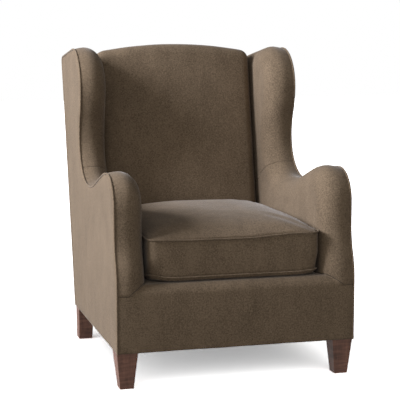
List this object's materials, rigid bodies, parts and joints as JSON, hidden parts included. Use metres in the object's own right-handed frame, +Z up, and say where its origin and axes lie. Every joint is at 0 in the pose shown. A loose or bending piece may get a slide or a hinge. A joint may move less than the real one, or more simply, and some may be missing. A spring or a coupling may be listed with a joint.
{
  "type": "wing armchair",
  "caption": "Tight-covered wing armchair with swept arms, a raked arched back, a loose boxed seat cushion with a zipped cover, piped side panels and tapered wooden legs.",
  "frame": {"origin": "on the floor, under the middle of the chair's overall width and depth", "axes": "+Z up, -Y towards the front, +X to the right of a viewer who faces the chair; node names use left and right as that viewer sees them"},
  "size_m": [0.762, 0.9526, 1.0264],
  "materials": {
    "upholstery": "close short-pile weave, matt with a soft sheen",
    "piping": "same cloth cut on the bias over cord",
    "foam": "open-cell foam wrapped in fibre",
    "frame_wood": "sawn hardwood",
    "leg_wood": "dark walnut stain, satin",
    "liner_board": "grey-brown fibreboard",
    "felt": "needled felt",
    "webbing": "woven elastic webbing",
    "cambric": "black non-woven cloth",
    "spring_steel": "oiled spring wire",
    "plated_steel": "zinc plated",
    "glide_plastic": "moulded nylon",
    "zip_tape": "woven tape with a nylon coil",
    "zip_metal": "antiqued metal"
  },
  "bodies": {
    "chair": {"arm_pad_left": "foam", "arm_pad_right": "foam", "arm_post_left": "frame_wood", "arm_post_right": "frame_wood", "arm_rail_left": "frame_wood", "arm_rail_right": "frame_wood", "back_pad": "foam", "back_post_left": "frame_wood", "back_post_right": "frame_wood", "back_rail": "frame_wood", "back_webbing": "webbing", "corner_blocks": "frame_wood", "corner_screws": "plated_steel", "crest_rail": "frame_wood", "deck_cover": "upholstery", "deck_insulator": "felt", "deck_pad": "foam", "dust_cover": "cambric", "front_border_cover": "upholstery", "front_border_pad": "foam", "front_leg_left": "leg_wood", "front_leg_right": "leg_wood", "front_rail": "frame_wood", "inside_arm_cover_left": "upholstery", "inside_arm_cover_right": "upholstery", "inside_back_cover": "upholstery", "inside_wing_cover_left": "upholstery", "inside_wing_cover_right": "upholstery", "leg_bolts": "plated_steel", "leg_glides": "glide_plastic", "leg_plates": "plated_steel", "lower_back_rail": "frame_wood", "outside_back_panel": "upholstery", "outside_panel_left": "upholstery", "outside_panel_right": "upholstery", "rear_leg_left": "leg_wood", "rear_leg_right": "leg_wood", "seat_springs": "spring_steel", "side_liner_left": "liner_board", "side_liner_right": "liner_board", "side_rail_left": "frame_wood", "side_rail_right": "frame_wood", "side_welt_left": "piping", "side_welt_right": "piping", "spring_clips": "plated_steel", "tie_wires": "spring_steel", "wing_pad_left": "foam", "wing_pad_right": "foam", "wing_post_left": "frame_wood", "wing_post_right": "frame_wood", "wing_rail_left": "frame_wood", "wing_rail_right": "frame_wood"},
    "seat_cushion": {"cushion_core": "foam", "cushion_top_panel": "upholstery", "cushion_boxing": "upholstery", "cushion_bottom_panel": "upholstery", "cushion_welts": "piping", "zipper_chain": "zip_tape"},
    "zip_slider": {"zipper_slider": "zip_metal"}
  },
  "joints": [
    {"name": "cushion_lift", "type": "slide", "parent": "chair", "child": "seat_cushion", "axis": [0, 0, 1], "range_m": [0, 0.72]},
    {"name": "zip_slide", "type": "slide", "parent": "seat_cushion", "child": "zip_slider", "axis": [1, 0, 0], "range_m": [0, 0.431]}
  ]
}
